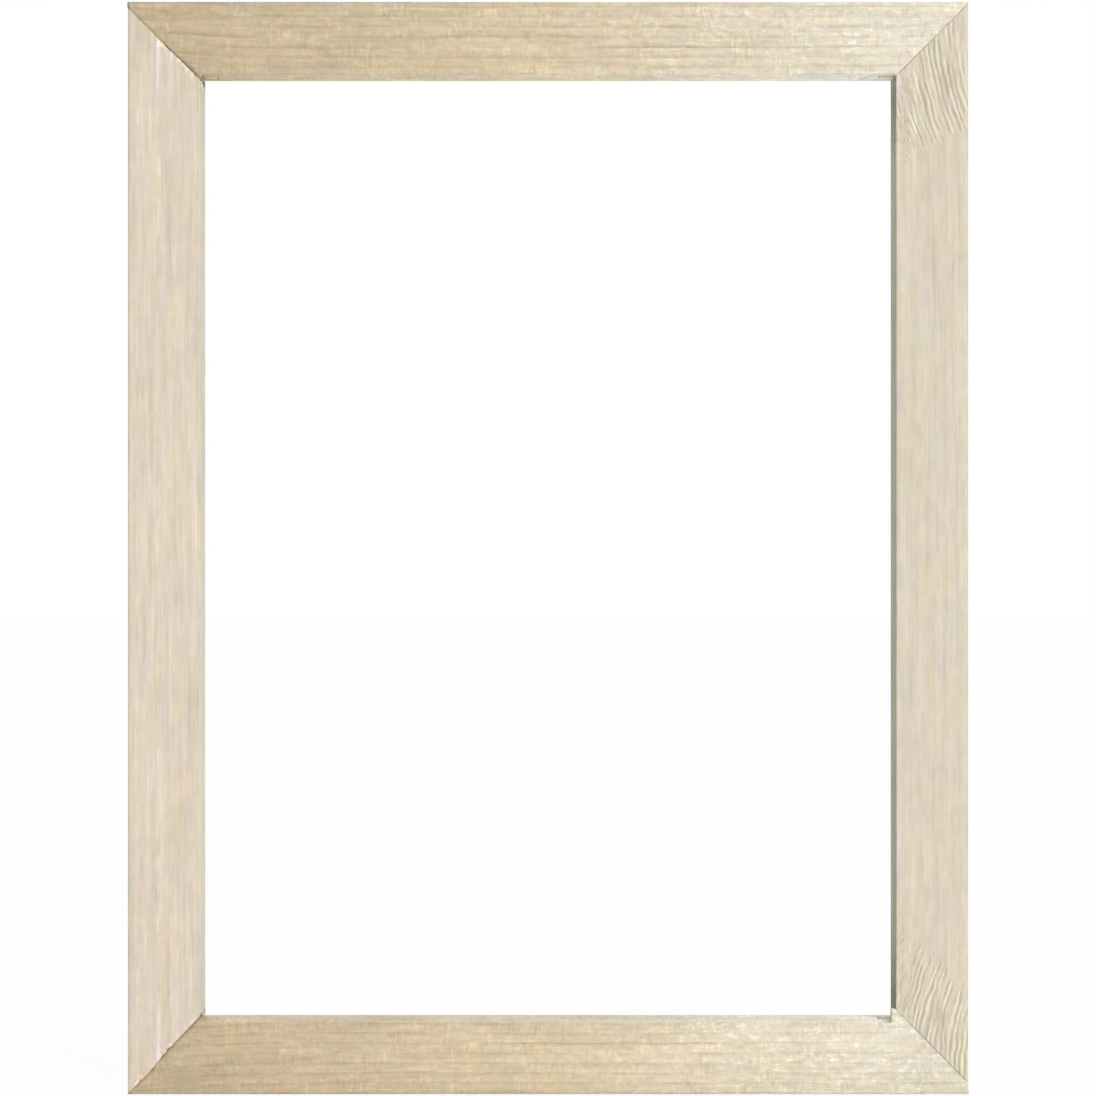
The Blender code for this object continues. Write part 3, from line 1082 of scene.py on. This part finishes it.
def knot_figure(board):
    """Curved streaks at both ends of the right rail: positive is cream, negative is tan."""
    from_end = board.from_end
    top = board.along.step(-1, 1)
    apart = top * 17.3

    # The figure starts at the joint and ends in a ragged edge.
    top_last = board.across * TOP_REACH[1] + TOP_REACH[0]
    bottom_last = board.across * BOTTOM_REACH[1] + BOTTOM_REACH[0]
    last = top_last * top + bottom_last * (1 - top) + board.marks(6, 2.0, 4.8) * RAGGEDNESS
    first = (board.across - 1).math("MAXIMUM", (29 - board.across * 2.2) * top)
    zone = (from_end - last).step(5, -9) * (from_end - first).step(0, 5)

    # The streaks follow a curve, and are finer and weaker toward the inner edge.
    inner = board.across.step(29, 37)
    bent = board.across - from_end * 0.05 + from_end ** 2 * 0.0028 + board.marks(10, 8, 2.6) * 0.25
    sway = board.figure(from_end / 24 + apart, bent / 7, board.depth / 4, 1) * 0.16
    turns = bent / WAVE_SPACING + sway
    strength = board.figure(from_end / 28 + apart, bent / 3.6, board.depth / 4, 1).step(-1.2, 0.5)
    wave = (turns * math.tau).math("SINE") * strength * (1 - inner * 0.6)
    thin = board.figure(from_end / 6 + apart, bent / 0.9 + 5, board.depth / 4, 2) * (inner * 0.8 + 0.7)
    blotch_place = top * -5.0 + 17.5
    blotch = (abs(board.across - blotch_place) / 6.5 + abs(from_end - 45) / 14).step(1.3, 0.3)
    return wave * zone, thin * zone, blotch


def right_rail(seed):
    """The wood of the right rail."""
    graph = Graph(bpy.data.materials.new("right_rail_softwood"))
    board = Board(graph, "right_rail", seed)
    fine, layers = upright_layers(board, 0.75)
    wave, thin, blotch = knot_figure(board)
    inner_highlight = board.across.step(RAIL_MM - 2.2, RAIL_MM - 1.0) * board.from_end.step(110, 60)
    band = board.figure(board.along / 45, board.depth / 2.4, 0, 2)
    colour = layered(graph, RIGHT_BEIGE, layers + [
        (wave.step(0.25, 0.9) * 1.75 + thin.step(0.3, 1.2) * 1.1, CREAM),
        (wave.step(0.05, -0.8) * 1.15 + thin.step(-0.3, -1.2) * 0.6 + blotch * 0.6, KNOT_TAN),
        (inner_highlight * 0.7, CREAM),
        # Painted shade on the inner side near both ends.
        (board.inner_facing * board.from_end.step(105, 50), PAINTED_SHADE_GREY),
        (board.inner_facing * band * 6, ONE_LEVEL),
        (tight_joint(board, board.nearest_mitre().step(0.9, 0.2)), JOINT_GREEN),
    ])
    return wood_surface(graph, colour, fine * 0.3 + wave * 0.3, -fine)


print("streaks at the right rail's ends are", WAVE_SPACING, "mm apart")

# %% Dress the rails
# Where each rail's noise starts. Rails with different starts never look sawn from one board.
WOOD_START = {"bottom_rail": 3.1, "top_rail": 11.7, "left_rail": 23.4, "right_rail": 37.9}


def dress(thing, material):
    """Give an object one material, in place of those it came with."""
    thing.data.materials.clear()
    thing.data.materials.append(material)


for rail in ("bottom_rail", "top_rail"):
    dress(rails[rail], level_rail(rail, WOOD_START[rail]))
dress(rails["left_rail"], left_rail(WOOD_START["left_rail"]))
dress(rails["right_rail"], right_rail(WOOD_START["right_rail"]))
print("rails dressed:", ", ".join(RAIL_SIDES))

# %% [markdown]
# ## The keys
#
# A key is a small wedge, sawn from a harder and closer wood such as beech, with its grain along
# its length and so across the rail. It lies deep in its slot, where only its head shows, and the
# picture gives no sign of it, so its colour is kept close to that of the rails.

# %% Keys
KEY_TONE = {
    "top_rail": srgb(214, 198, 169),
    "bottom_rail": srgb(214, 198, 169),
    "left_rail": srgb(221, 208, 189),
    "right_rail": srgb(219, 206, 186),
}
# A key's head takes the same painted light and shade as the inner side of its rail.
KEY_HEAD_LIGHT_AND_SHADE = {**INNER_SIDE_LIGHT_AND_SHADE, "left_rail": PAINTED_SHADE_GREEN, "right_rail": PAINTED_SHADE_GREY}
KEY_START = 1.3


def key_wood(node):
    """The wood of one key, whose grain runs across its rail."""
    rail = rail_of(node)
    graph = Graph(bpy.data.materials.new(node + "_wood"))
    board = Board(graph, rail, len(node) * KEY_START)
    board.along, board.grain = board.across, board.along
    pores = board.marks(6, 0.35, 2.2).step(0.8, 1.8)
    colour = layered(graph, KEY_TONE[rail], [
        (board.marks(30, 2.5, 1.1) * 2.0 + board.marks(12, 0.6, 5.2) * 2.0, ONE_LEVEL),
        (pores * 0.8, SUMMER_BROWN),
        (board.inner_facing, KEY_HEAD_LIGHT_AND_SHADE[rail]),
    ])
    return wood_surface(graph, colour, -pores, pores)


for node, key in keys.items():
    dress(key, key_wood(node))
print("keys dressed:", len(keys))

# %% [markdown]
# ## Finish

# %% Finish
print("finished")
